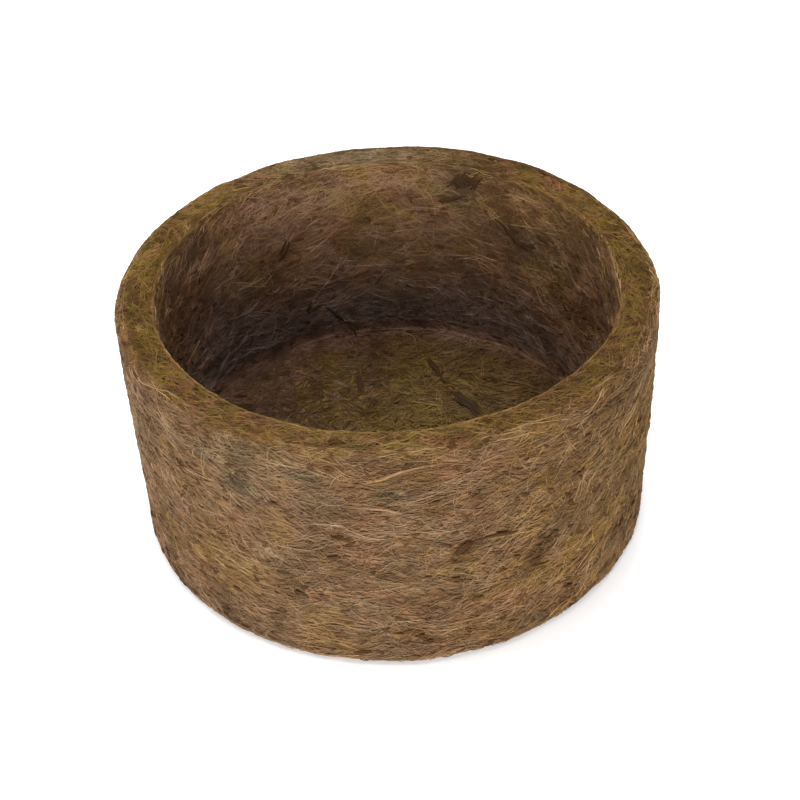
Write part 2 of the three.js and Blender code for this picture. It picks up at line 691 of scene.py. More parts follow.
class Nodes:
    """Makes the shader nodes of one material."""

    def __init__(self, name: str) -> None:
        """Starts a material with an empty node tree.

        Args:
            name: The material's name.
        """
        self.material = bpy.data.materials.new(name)
        self.material.use_nodes = True
        self.tree = self.material.node_tree
        self.tree.nodes.clear()

    def add(self, kind: str, **values: object) -> bpy.types.Node:
        """Adds a node.

        Args:
            kind: Its type, without the ShaderNode in front.
            values: Settings of the node by their own names, and sockets by their labels.

        Returns:
            The node.
        """
        node = self.tree.nodes.new("ShaderNode" + kind)
        for label, value in values.items():
            if label in node.inputs:
                self.feed(node.inputs[label], value)
            else:
                setattr(node, label, value)
        return node

    def feed(self, socket: Socket, value: object) -> None:
        """Links a socket to an output, or sets its own value.

        Args:
            socket: The input socket.
            value: The output to link, or the value to set.
        """
        if isinstance(value, Socket):
            self.tree.links.new(value, socket)
        else:
            socket.default_value = value

    def ramp(self, factor: Socket, tints: Tints) -> Socket:
        """Runs a factor through tints from dark to pale.

        Args:
            factor: Output from 0 to 1.
            tints: The dark, middle and pale tint.

        Returns:
            The colour.
        """
        node = self.add("ValToRGB", Fac=factor)
        stops = node.color_ramp.elements
        stops.new(0.5)
        for stop, tint in zip(stops, tints, strict=True):
            stop.color = (*tint, 1.0)
        return node.outputs["Color"]

    def mix(self, factor: Socket, below: Socket, above: Socket) -> Socket:
        """Lays one colour over another.

        Args:
            factor: How far the upper colour covers.
            below: The lower colour.
            above: The upper colour.

        Returns:
            The colour that shows.
        """
        node = self.add("Mix", data_type="RGBA")
        sockets = [s for s in node.inputs if s.enabled]
        for socket, value in zip(sockets, (factor, below, above), strict=True):
            self.feed(socket, value)
        return next(s for s in node.outputs if s.enabled)

    def maths(self, operation: str, *values: object) -> Socket:
        """Works out a number from others.

        Args:
            operation: Blender's name for the sum.
            values: Outputs or plain numbers, in the order of the node's inputs.

        Returns:
            The number.
        """
        node = self.add("Math", operation=operation)
        for socket, value in zip(node.inputs, values, strict=False):
            self.feed(socket, value)
        return node.outputs["Value"]

    def noise(
        self, around: float, rise: float, detail: float, roughness: float = 0.6, waviness: float = 0.0
    ) -> Socket:
        """Noise in the pot's own space, stretched around the pot.

        Args:
            around: Length of a cell around the pot.
            rise: Height of a cell.
            detail: Number of finer layers in it.
            roughness: How strong those are.
            waviness: How far its cells are bent, in cells.

        Returns:
            A number around a half.
        """
        place = self.add("TexCoord").outputs["Object"]
        cells = tuple(1 / (size * MM) for size in (around, around, rise))
        stretched = self.add("Mapping", Vector=place, Scale=cells).outputs["Vector"]
        texture = self.add("TexNoise", Vector=stretched, Scale=1.0, Detail=detail, Roughness=roughness)
        texture.inputs["Distortion"].default_value = waviness
        return texture.outputs["Fac"]

    def close(self, shader: Socket) -> bpy.types.Material:
        """Puts a shader on the material's surface and returns the material."""
        self.add("OutputMaterial", Surface=shader)
        return self.material


@dataclass(frozen=True)
class CoirTints:
    """The middle tints of one felt: its own, and those of its stains."""

    own: Colour
    moss: Colour
    straw: Colour
    rust: Colour
    DARK: ClassVar[Colour] = (0.455, 0.420, 0.375)
    PALE: ClassVar[Colour] = (1.66, 1.88, 2.20)

    def shades(self, middle: Colour) -> Tints:
        """Shades a tint. Dark coir is redder than pale coir.

        Args:
            middle: The tint.

        Returns:
            Its dark, middle and pale shade.
        """
        dark, pale = (
            tuple(part * share for part, share in zip(middle, shares, strict=True))
            for shares in (self.DARK, self.PALE)
        )
        return dark, middle, pale

    def colour(self, nodes: Nodes, tint: Socket) -> Socket:
        """Works out the felt's colour from a tint and the stains at each point.

        Args:
            nodes: The material's nodes.
            tint: From 0, dark, to 1, pale.

        Returns:
            The colour.
        """
        stains = nodes.add("Attribute", attribute_name="stains").outputs["Vector"]
        parts = nodes.add("SeparateXYZ", Vector=stains).outputs
        colour = nodes.ramp(tint, self.shades(self.own))
        laid = ((Stain.RUST, self.rust), (Stain.STRAW, self.straw), (Stain.MOSS, self.moss))
        for stain, middle in laid:
            colour = nodes.mix(parts[stain.value], colour, nodes.ramp(tint, self.shades(middle)))
        return colour


@dataclass(frozen=True)
class Mottling:
    """Pale and dark blots in a felt, wavy swaths that run around it, and small dark pits among them."""

    blots: float = 0.65
    swaths: float = 0.7
    pits: float = 0.4
    BLOT: ClassVar[Span] = (8.0, 5.0)
    BLOT_ROUGHNESS: ClassVar[float] = 0.7
    SWATH: ClassVar[Span] = (30.0, 4.5)
    SWATH_WAVINESS: ClassVar[float] = 0.8
    PIT: ClassVar[Span] = (5.0, 2.0)
    PIT_EDGES: ClassVar[Span] = (0.62, 0.69)

    def shade(self, nodes: Nodes, tint: Socket) -> Socket:
        """Darkens or pales a tint.

        Args:
            nodes: The material's nodes.
            tint: From 0, dark, to 1, pale.

        Returns:
            The mottled tint.
        """
        blot = nodes.noise(*self.BLOT, detail=4, roughness=self.BLOT_ROUGHNESS)
        swath = nodes.noise(*self.SWATH, detail=2, waviness=self.SWATH_WAVINESS)
        pit = nodes.noise(*self.PIT, detail=1)
        edges = {"From Min": self.PIT_EDGES[0], "From Max": self.PIT_EDGES[1], "To Max": self.pits}
        deep = nodes.add("MapRange", interpolation_type="SMOOTHSTEP", Value=pit, **edges).outputs["Result"]
        for noise, amount in ((blot, self.blots), (swath, self.swaths)):
            tint = nodes.maths("ADD", tint, nodes.maths("MULTIPLY_ADD", noise, amount, -amount / 2))
        return nodes.maths("SUBTRACT", tint, deep)


@dataclass(frozen=True)
class StrandFinish:
    """Finish of coir strands and husk: dull, with a tint of its own on each strand."""

    name: str
    tints: CoirTints
    mottling: Mottling = Mottling()
    roughness: float = 0.72
    shine: float = 0.25

    def material(self) -> bpy.types.Material:
        """Makes the finish, mottled with the felt that the strands lie in.

        Returns:
            The material.
        """
        nodes = Nodes(self.name)
        tint = nodes.add("Attribute", attribute_name="tint").outputs["Fac"]
        colour = self.tints.colour(nodes, self.mottling.shade(nodes, tint))
        shader = nodes.add("BsdfPrincipled", Roughness=self.roughness)
        shader.inputs["Specular IOR Level"].default_value = self.shine
        nodes.feed(shader.inputs["Base Color"], colour)
        return nodes.close(shader.outputs["BSDF"])


@dataclass(frozen=True)
class FeltFinish:
    """Finish of the felt bed under the strands: streaked the way that the fibre was laid."""

    name: str
    tints: CoirTints
    mottling: Mottling = Mottling()
    around: float = 7.0
    rise: float = 1.1
    depth: float = 0.5
    STREAK_DETAIL: ClassVar[float] = 5
    CONTRAST: ClassVar[float] = 1.2
    DARKEST: ClassVar[float] = -0.4
    BUMP: ClassVar[float] = 0.8
    SHINE: ClassVar[float] = 0.2
    ROUGHNESS: ClassVar[float] = 0.75
    ROUGHER: ClassVar[float] = 0.3

    def material(self) -> bpy.types.Material:
        """Makes the finish, with streaks in its colour, its roughness and its relief.

        Returns:
            The material.
        """
        nodes = Nodes(self.name)
        streaks = nodes.noise(self.around, self.rise, detail=self.STREAK_DETAIL)
        tint = nodes.maths("MULTIPLY_ADD", streaks, self.CONTRAST, self.DARKEST)
        colour = self.tints.colour(nodes, self.mottling.shade(nodes, tint))
        bump = nodes.add("Bump", Height=streaks, Distance=self.depth * MM, Strength=self.BUMP)
        shader = nodes.add("BsdfPrincipled", Normal=bump.outputs["Normal"])
        shader.inputs["Specular IOR Level"].default_value = self.SHINE
        roughness = nodes.maths("MULTIPLY_ADD", streaks, self.ROUGHER, self.ROUGHNESS)
        nodes.feed(shader.inputs["Roughness"], roughness)
        nodes.feed(shader.inputs["Base Color"], colour)
        return nodes.close(shader.outputs["BSDF"])


WALL_TINTS = CoirTints(
    own=(0.256, 0.151, 0.075),
    moss=(0.196, 0.136, 0.071),
    straw=(0.268, 0.150, 0.046),
    rust=(0.288, 0.138, 0.062),
)
RIM_TINTS = CoirTints(
    own=(0.158, 0.087, 0.0225),
    moss=(0.186, 0.124, 0.066),
    straw=(0.164, 0.098, 0.0155),
    rust=(0.198, 0.086, 0.034),
)
LINING_TINTS = CoirTints(
    own=(0.248, 0.130, 0.066),
    moss=(0.235, 0.152, 0.113),
    straw=(0.229, 0.128, 0.036),
    rust=(0.275, 0.124, 0.055),
)
FLOOR_TINTS = CoirTints(
    own=(0.120, 0.064, 0.020),
    moss=(0.116, 0.075, 0.031),
    straw=(0.136, 0.079, 0.015),
    rust=(0.206, 0.110, 0.071),
)
HUSK_TINTS = CoirTints(
    own=(0.118, 0.057, 0.023),
    moss=(0.102, 0.064, 0.037),
    straw=(0.110, 0.055, 0.015),
    rust=(0.132, 0.055, 0.021),
)
FLOOR_HUSK_TINTS = CoirTints(
    own=(0.074, 0.041, 0.016),
    moss=(0.066, 0.045, 0.026),
    straw=(0.072, 0.041, 0.011),
    rust=(0.082, 0.041, 0.016),
)

LINING_MOTTLING = Mottling(blots=0.8, pits=0.55)
HUSK_MOTTLING = Mottling(blots=0.25, swaths=0.2, pits=0.0)

WALL_STRANDS = StrandFinish("wall_strands", WALL_TINTS)
RIM_STRANDS = StrandFinish("rim_strands", RIM_TINTS, shine=0.12)
LINING_STRANDS = StrandFinish("lining_strands", LINING_TINTS, LINING_MOTTLING)
FLOOR_STRANDS = StrandFinish("floor_strands", FLOOR_TINTS, shine=0.12)
HUSK = StrandFinish("husk", HUSK_TINTS, HUSK_MOTTLING, roughness=0.8, shine=0.1)
FLOOR_HUSK = replace(HUSK, name="floor_husk", tints=FLOOR_HUSK_TINTS)


class MeshKit:
    """Turns arrays of points and faces into a piece of the pot."""

    def __init__(self, name: str, points: Array, faces: Sequence[Array]) -> None:
        """Makes the mesh, in metres, and its object.

        Args:
            name: The piece's name.
            points: Its points, one row each.
            faces: Arrays of corners, one row for each face, all rows of an array alike in length.
        """
        mesh = bpy.data.meshes.new(name)
        totals = np.concatenate([np.full(len(rows), rows.shape[1]) for rows in faces])
        corners = np.concatenate([rows.ravel() for rows in faces])
        mesh.vertices.add(len(points))
        mesh.vertices.foreach_set("co", (points * MM).astype(np.float32).ravel())
        mesh.loops.add(len(corners))
        mesh.loops.foreach_set("vertex_index", corners.astype(np.int32))
        mesh.polygons.add(len(totals))
        mesh.polygons.foreach_set("loop_start", (np.cumsum(totals) - totals).astype(np.int32))
        mesh.polygons.foreach_set("loop_total", totals.astype(np.int32))
        mesh.polygons.foreach_set("use_smooth", np.ones(len(totals), bool))
        mesh.update(calc_edges=True)
        self.mesh = mesh
        self.piece = bpy.data.objects.new(name, mesh)
        bpy.context.scene.collection.objects.link(self.piece)

    def number(self, name: str, values: Array) -> None:
        """Gives each point a number under a name."""
        attribute = self.mesh.attributes.new(name, "FLOAT", "POINT")
        attribute.data.foreach_set("value", values.astype(np.float32).ravel())

    def vector(self, name: str, values: Array) -> None:
        """Gives each point three numbers under a name."""
        attribute = self.mesh.attributes.new(name, "FLOAT_VECTOR", "POINT")
        attribute.data.foreach_set("vector", values.astype(np.float32).ravel())

    def map(self, spots: Sequence[Array]) -> None:
        """Lays the faces out flat.

        Args:
            spots: Arrays with a flat place for each corner, in the order of the faces.
        """
        layer = self.mesh.uv_layers.new(name=BAKE_MAP)
        flat = np.concatenate([rows.reshape(-1, 2) for rows in spots])
        layer.uv.foreach_set("vector", flat.astype(np.float32).ravel())

    def finish(self, material: bpy.types.Material, slot: Slot, *nodes: str) -> bpy.types.Object:
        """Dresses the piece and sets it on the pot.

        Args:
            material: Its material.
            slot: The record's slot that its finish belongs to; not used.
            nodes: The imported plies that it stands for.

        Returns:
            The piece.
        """
        self.mesh.materials.append(material)
        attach(self.piece, BODY)
        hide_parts(*nodes)
        LOG.info("%s: %d faces, for %s", self.piece.name, len(self.mesh.polygons), ", ".join(nodes))
        return self.piece


def ring_quads(count: int, low: Array, high: Array) -> Array:
    """Finds the corners of the faces between pairs of rings.

    Args:
        count: Points in each ring.
        low: Number of the first point of the lower ring of each pair.
        high: Number of the first point of the upper ring.

    Returns:
        Four corners for each face, one row each.
    """
    here = np.arange(count)
    after = (here + 1) % count
    low, high = low[:, None], high[:, None]
    return np.stack([low + here, low + after, high + after, high + here], axis=-1).reshape(-1, 4)


def grid_cells(x: Array, y: Array) -> Array:
    """Finds the corners of the cells of a flat grid.

    Args:
        x: Places of its upright lines.
        y: Places of its level lines.

    Returns:
        Four corners for each cell, level by level.
    """
    left, low = np.meshgrid(x[:-1], y[:-1])
    right, high = np.meshgrid(x[1:], y[1:])
    pairs = ((left, low), (right, low), (right, high), (left, high))
    return np.stack([np.stack(pair, axis=-1) for pair in pairs], axis=-2).reshape(-1, 4, 2)


@dataclass(frozen=True)
class Strands:
    """Strands of one kind, as arrays with a row for each strand and a column for each point along it."""

    places: Array
    normals: Array
    widths: Array
    tints: Array
    flatness: float = 1.0
    sides: int = 3
    MARGIN: ClassVar[float] = 0.08
    CAP: ClassVar[float] = 0.03

    @classmethod
    def join(cls, bundles: Sequence[Strands]) -> Strands:
        """Puts bundles of one kind together.

        Args:
            bundles: Strands with the same number of points and sides.

        Returns:
            All of them.
        """
        rows = ("places", "normals", "widths", "tints")
        joined = {row: np.concatenate([getattr(bundle, row) for bundle in bundles]) for row in rows}
        return replace(bundles[0], **joined)

    def build(self, name: str, stains_and_painted_light: StainsAndPaintedLight) -> MeshKit:
        """Makes a tube of each strand.

        Args:
            name: The piece's name.
            stains_and_painted_light: The stains of the felt that the strands lie on, with its shade, which is
                painted shade and painted light in places.

        Returns:
            The piece's mesh kit.
        """
        count, steps = self.widths.shape
        stains = stains_and_painted_light.at(self.places)
        kit = MeshKit(name, self._rings().reshape(-1, 3), self._faces(count, steps))
        # The tint takes the shade: the felt's own tone, and painted shade and painted light in places.
        kit.number("tint", np.repeat(self.tints - stains[..., Stain.SHADE.value], self.sides, axis=1))
        kit.vector("stains", np.repeat(stains[..., : Stain.SHADE.value], self.sides, axis=1))
        kit.map(self._spots(count, steps))
        return kit

    def _rings(self) -> Array:
        """Places rings of points round every strand.

        Returns:
            The points of the strands' skins, ring by ring, none of them under the ground.
        """
        way = np.gradient(self.places, axis=1)
        way /= np.maximum(np.linalg.norm(way, axis=2, keepdims=True), TINY)
        across = np.cross(self.normals, way)
        across /= np.maximum(np.linalg.norm(across, axis=2, keepdims=True), TINY)
        up = np.cross(way, across)
        angles = math.pi / 2 + TURN * np.arange(self.sides) / self.sides
        flat = np.cos(angles)[:, None] * across[:, :, None, :]
        raised = self.flatness * np.sin(angles)[:, None] * up[:, :, None, :]
        skin = self.places[:, :, None, :] + self.widths[:, :, None, None] / 2 * (flat + raised)
        return above_ground(skin, PRESSED_GAP)

    def _faces(self, count: int, steps: int) -> list[Array]:
        """Numbers the corners of the strands' faces.

        Args:
            count: Number of strands.
            steps: Points along each.

        Returns:
            The corners of their sides, and of their two ends.
        """
        sides = self.sides
        ring = np.arange(sides)
        start = np.arange(steps - 1) * sides
        quads = ring_quads(sides, start, start + sides)
        ends = np.stack([ring[::-1], (steps - 1) * sides + ring])
        first = (np.arange(count) * steps * sides)[:, None, None]
        return [(first + quads).reshape(-1, 4), (first + ends).reshape(-1, sides)]

    def _spots(self, count: int, steps: int) -> list[Array]:
        """Lays the faces out flat, each strand in a cell of its own with its sides side by side.

        Args:
            count: Number of strands.
            steps: Points along each.

        Returns:
            The flat places of the corners of the sides, and of the ends.
        """
        grid = math.ceil(math.sqrt(count))
        along = np.linspace(self.MARGIN, 1 - self.MARGIN, steps)
        around = np.linspace(self.MARGIN, 1 - self.MARGIN, self.sides + 1)
        quads = grid_cells(around, along)[..., ::-1]
        turn = TURN * np.arange(self.sides) / self.sides
        cap = 0.5 + self.CAP * np.stack([np.cos(turn), np.sin(turn)], axis=-1)
        ends = np.stack([cap, cap])
        cell = np.stack([np.arange(count) % grid, np.arange(count) // grid], axis=-1)[:, None, None, :]
        return [(cell + quads) / grid, (cell + ends) / grid]


@dataclass(frozen=True)
class StrandLay:
    """How strands are laid over a face, in locks whose strands run side by side.

    Lengths, widths and lifts are drawn between two values, and tints about a mean with a spread.
    """

    locks: int
    length: Span
    width: Span
    lift: Span
    per_lock: int = 2
    swing: float = 0.25
    drift: float = 24.0
    stray: float = 0.5
    loose: float = 0.2
    spread: float = 0.6
    curl: float = 0.16
    wave: float = 0.2
    tint: Span = (0.5, 0.16)
    steps: int = 7
    sides: int = 3
    flatness: float = 1.0
    bury: float = 0.7
    taper: float = 0.5
    seed: int = 1
    FLOW_SEED: ClassVar[int] = 500
    LENGTH_SHARE: ClassVar[Span] = (0.75, 1.2)
    START_SHARE: ClassVar[Span] = (-0.7, -0.2)
    OWN_CURL: ClassVar[float] = 1 / 3
    OWN_TINT: ClassVar[float] = 0.07
    WAVES: ClassVar[Span] = (0.8, 2.2)
    FULLNESS: ClassVar[float] = 0.6
    ARCH_POWER: ClassVar[int] = 4

    @property
    def count(self) -> int:
        """Number of strands."""
        return self.locks * self.per_lock

    def lay(self, face: Face) -> Strands:
        """Walks every strand over a face.

        Args:
            face: The face that they lie on.

        Returns:
            The strands.
        """
        rng = np.random.default_rng(self.seed)
        flow = SmoothNoise(self.seed + self.FLOW_SEED)
        u, v = (self._each(values) for values in face.draw(rng, self.locks))
        length = self._each(rng.uniform(*self.length, self.locks))
        length *= rng.uniform(*self.LENGTH_SHARE, self.count)
        turned = self._each(rng.normal(0, self.stray, self.locks)) + rng.normal(0, self.loose, self.count)
        bend = self._each(rng.normal(0, self.curl, self.locks))
        bend += rng.normal(0, self.curl * self.OWN_CURL, self.count)
        heading = turned + self._flow(flow, face, u, v)
        u, v = face.step(u, v, heading + math.pi / 2, rng.normal(0, self.spread, self.count))
        u, v = face.step(u, v, heading, rng.uniform(*self.START_SHARE, self.count) * length)
        stride = length / (self.steps - 1)
        places, normals = [], []
        for step in range(self.steps):
            place, normal = face.spot(u, v)
            places.append(place)
            normals.append(normal)
            heading = turned + bend * (step - self.steps / 2) + self._flow(flow, face, u, v)
            u, v = face.step(u, v, heading, stride)
        places, normals = np.stack(places, axis=1), np.stack(normals, axis=1)
        raised = relief(places) + self._heights(rng)
        share = np.linspace(0, 1, self.steps)
        shape = (1 - self.taper) + self.taper * np.sin(math.pi * share) ** self.FULLNESS
        width = rng.uniform(*self.width, self.count)
        tint = self._each(rng.normal(*self.tint, self.locks)) + rng.normal(0, self.OWN_TINT, self.count)
        return Strands(
            places=above_ground(places + normals * raised[:, :, None]),
            normals=normals,
            widths=width[:, None] * shape,
            tints=np.repeat(tint[:, None], self.steps, axis=1),
            flatness=self.flatness,
            sides=self.sides,
        )

    def _each(self, values: Array) -> Array:
        """Gives every strand of a lock the lock's value."""
        return np.repeat(values, self.per_lock)

    def _flow(self, flow: SmoothNoise, face: Face, u: Array, v: Array) -> Array:
        """The way that the felt drifts at each spot, in radians."""
        return self.swing * flow(face.spot(u, v)[0] / self.drift)

    def _heights(self, rng: np.random.Generator) -> Array:
        """Lifts the strands over the felt, with their ends worked into it.

        Args:
            rng: Source of the draws.

        Returns:
            How far each point of each strand stands over the felt.
        """
        share = np.linspace(0, 1, self.steps)
        arch = 1 - np.abs(2 * share - 1) ** self.ARCH_POWER
        each = (self.count, 1)
        lift = rng.uniform(*self.lift, each)
        waves = rng.uniform(*self.WAVES, each)
        start = rng.uniform(0, 1, each)
        ripple = self.wave * np.sin(TURN * (share * waves + start))
        return (lift + self.bury + ripple) * arch - self.bury


@dataclass(frozen=True)
class Tuft:
    """A few strands laid along a given path on a face: a tuft of dark husk or a lock of pale fibre."""

    path: tuple[Point, ...]
    strands: int
    width: float
    spread: float
    tint: float = 0.2
    lift: float = 1.05
    START_SHARE: ClassVar[Span] = (0.0, 0.25)
    END_SHARE: ClassVar[Span] = (0.75, 1.0)
    FULLNESS: ClassVar[float] = 0.6
    BURY: ClassVar[float] = 0.2
    OWN_LIFT: ClassVar[float] = 0.1
    WIDTH_SHARE: ClassVar[Span] = (0.6, 1.15)
    TIP: ClassVar[float] = 0.1
    OWN_TINT: ClassVar[float] = 0.18

    def lay(self, face: Face, rng: np.random.Generator, pattern: StrandLay) -> Strands:
        """Lays the tuft's strands along its path.

        Args:
            face: The face that it lies on.
            rng: Source of the draws.
            pattern: The strands whose points, sides and flatness it shares.

        Returns:
            The strands.
        """
        each = (self.strands, 1)
        share = np.linspace(0, 1, pattern.steps)
        along = rng.uniform(*self.START_SHARE, each) * (1 - share)
        along = along + rng.uniform(*self.END_SHARE, each) * share
        knots = np.linspace(0, 1, len(self.path))
        u, v = (np.interp(along, knots, values) for values in face.find(self.path))
        for end in (1 - share, share):
            heading = rng.uniform(0, TURN, each)
            u, v = face.step(u, v, heading, np.abs(rng.normal(0, self.spread, each)) * end)
        places, normals = face.spot(u, v)
        arch = np.sin(math.pi * share) ** self.FULLNESS
        raised = relief(places) + (self.lift + rng.normal(0, self.OWN_LIFT, each)) * arch - self.BURY
        thickness = self.width * rng.uniform(*self.WIDTH_SHARE, each)
        return Strands(
            places=places + normals * raised[:, :, None],
            normals=normals,
            widths=thickness * (self.TIP + (1 - self.TIP) * arch),
            tints=np.broadcast_to(rng.normal(self.tint, self.OWN_TINT, each), places.shape[:2]),
            flatness=pattern.flatness,
            sides=pattern.sides,
        )


@dataclass(frozen=True)
class Coat:
    """One layer of strands or husk on a ply, with its finish and any tufts laid along given paths."""

    name: str
    lay: StrandLay
    finish: StrandFinish
    tufts: tuple[Tuft, ...] = ()
    own_face: Face | None = None
    TUFT_SEED: ClassVar[int] = 900

    def strands(self, face: Face) -> Strands:
        """Lays the whole coat.

        Args:
            face: The ply's face, which it lies on if it has no face of its own.

        Returns:
            Its strands.
        """
        face = self.own_face or face
        rng = np.random.default_rng(self.lay.seed + self.TUFT_SEED)
        return Strands.join([self.lay.lay(face), *(tuft.lay(face, rng, self.lay) for tuft in self.tufts)])


WALL_BED = StrandLay(locks=2500, length=(16, 40), width=(0.28, 0.52), lift=(0.0, 0.2))
WALL_MIDDLE = StrandLay(locks=2550, length=(10, 28), width=(0.20, 0.38), lift=(0.1, 0.3))
SHORT_TOP = StrandLay(locks=3800, length=(5, 15), width=(0.17, 0.32), lift=(0.2, 0.45), steps=5, spread=0.8)
FLECKS = StrandLay(
    locks=560, per_lock=1, length=(2.5, 7), width=(0.6, 1.6), lift=(0.4, 0.6), wave=0.0, bury=0.3,
    steps=6, sides=6, flatness=0.3, taper=0.9,
)
# Strands on a disc lie every way, so their drift swings through a whole turn.
DISC_SWING = 3.2
# The rise of a patch that covers the whole width of the rim or of the floor.
ACROSS = 20.0


@dataclass
class FeltBody:
    """The felt of a ply: its showing face is uneven, and its hidden faces are plain."""

    name: str
    node: str
    slot: Slot
    outline: Outline
    hidden: list[Point]
    finish: FeltFinish
    stains_and_painted_light: StainsAndPaintedLight
    points_around: int = 600
    ring_gap: float = 0.9

    def dress(self, kit: MeshKit) -> bpy.types.Object:
        """Puts the felt's finish on its mesh and sets it on the pot."""
        return kit.finish(self.finish.material(), self.slot, self.node)

    def _angles(self) -> Array:
        """The angles of the points in each ring."""
        return np.arange(self.points_around) * TURN / self.points_around

    def _shown(self, run: Array) -> Array:
        """Places rings of points on the showing face, sunk under the strands.

        Args:
            run: Lengths along its outline.

        Returns:
            The points, ring by ring.
        """
        angles, runs = np.meshgrid(self._angles(), run)
        places, normals = WrapFace(self.outline).spot(angles, runs)
        return above_ground(places + normals * (relief(places) - BED_DEPTH)[..., None])

    def _back(self) -> Array:
        """Places rings of points at the corners of the hidden faces.

        Returns:
            The points, ring by ring.
        """
        angle = self._angles()
        flat = np.stack([np.cos(angle), np.sin(angle), np.zeros_like(angle)], axis=-1)
        return np.stack([radius * flat + (0, 0, height) for radius, height in self.hidden])

    def _mesh(self, points: Array, faces: Sequence[Array], spots: Sequence[Array]) -> MeshKit:
        """Makes the felt's mesh, stained and laid out flat.

        Args:
            points: Its points, one row each.
            faces: Arrays of corners, one row for each face.
            spots: The flat places of those corners.

        Returns:
            The piece's mesh kit.
        """
        kit = MeshKit(self.name, points, faces)
        kit.vector("stains", self.stains_and_painted_light.at(points)[..., : Stain.SHADE.value])
        kit.map(spots)
        return kit


@dataclass
class FeltRing(FeltBody):
    """A strip of felt closed into a ring."""

    def build(self) -> MeshKit:
        """Turns the strip's outline about the pot's axis.

        Returns:
            The piece's mesh kit.
        """
        rings = max(3, round(self.outline.length / self.ring_gap) + 1)
        skin = np.concatenate([self._shown(np.linspace(0, self.outline.length, rings)), self._back()])
        first = np.arange(len(skin)) * self.points_around
        faces = ring_quads(self.points_around, first, np.roll(first, -1))
        unrolled = grid_cells(np.linspace(0, 1, self.points_around + 1), np.linspace(0, 1, len(skin) + 1))
        return self._mesh(skin.reshape(-1, 3), [faces], [unrolled])


@dataclass
class FeltDisc(FeltBody):
    """A disc of felt."""

    points_around: int = 420
    ring_gap: float = 1.2
    MAP_REACH: ClassVar[float] = 2.1

    def build(self) -> MeshKit:
        """Turns the disc's outline about the pot's axis and closes both of its middles.

        Returns:
            The piece's mesh kit.
        """
        face = self.outline
        outwards = face.radius[0] < face.radius[-1]
        run = np.linspace(0, face.length, round(face.length / self.ring_gap) + 1)
        shown = self._shown(run[1:] if outwards else run[:-1])
        rows = [shown, self._back()] if outwards else [self._back(), shown]
        skin = np.concatenate(rows)
        showing = np.array([[0.0, 0.0, face.height[0 if outwards else -1]]])
        plain = np.array([[0.0, 0.0, self.hidden[-1 if outwards else 0][1]]])
        first, last = (showing, plain) if outwards else (plain, showing)
        points = np.concatenate([first, skin.reshape(-1, 3), last])
        faces = self._faces(len(skin))
        return self._mesh(points, faces, self._spots(points, faces))

    def _faces(self, rings: int) -> list[Array]:
        """Numbers the corners of the disc's faces.

        Args:
            rings: Number of rings.

        Returns:
            The corners of the faces between rings, and of the fans that close the two middles.
        """
        count = self.points_around
        here = np.arange(count)
        after = (here + 1) % count
        ring = 1 + np.arange(rings) * count
        top = ring[-1]
        low_fan = np.stack([np.zeros_like(here), 1 + after, 1 + here], axis=-1)
        high_fan = np.stack([np.full_like(here, top + count), top + here, top + after], axis=-1)
        return [ring_quads(count, ring[:-1], ring[1:]), low_fan, high_fan]

    def _spots(self, points: Array, faces: Sequence[Array]) -> list[Array]:
        """Lays the faces out flat as seen from above, with the disc's two sides side by side.

        Args:
            points: The disc's points.
            faces: Arrays of corners, one row for each face.

        Returns:
            The flat places of those corners.
        """
        reach = self.MAP_REACH * float(np.abs(points[:, :2]).max())
        middle = float(points[:, 2].min() + points[:, 2].max()) / 2
        flat = 0.5 + points[:, :2] / reach
        flat[:, 0] = (flat[:, 0] + (points[:, 2] > middle)) / 2
        return [flat[rows] for rows in faces]


@dataclass
class FeltPly:
    """A ply of the pot with the strands and husk that lie on it."""

    body: FeltRing | FeltDisc
    face: Face
    coats: tuple[Coat, ...] = ()

    def build(self) -> None:
        """Makes and dresses the ply's body and then each coat on it."""
        body = self.body
        body.dress(body.build())
        for coat in self.coats:
            kit = coat.strands(self.face).build(coat.name, body.stains_and_painted_light)
            kit.finish(coat.finish.material(), body.slot, body.node)


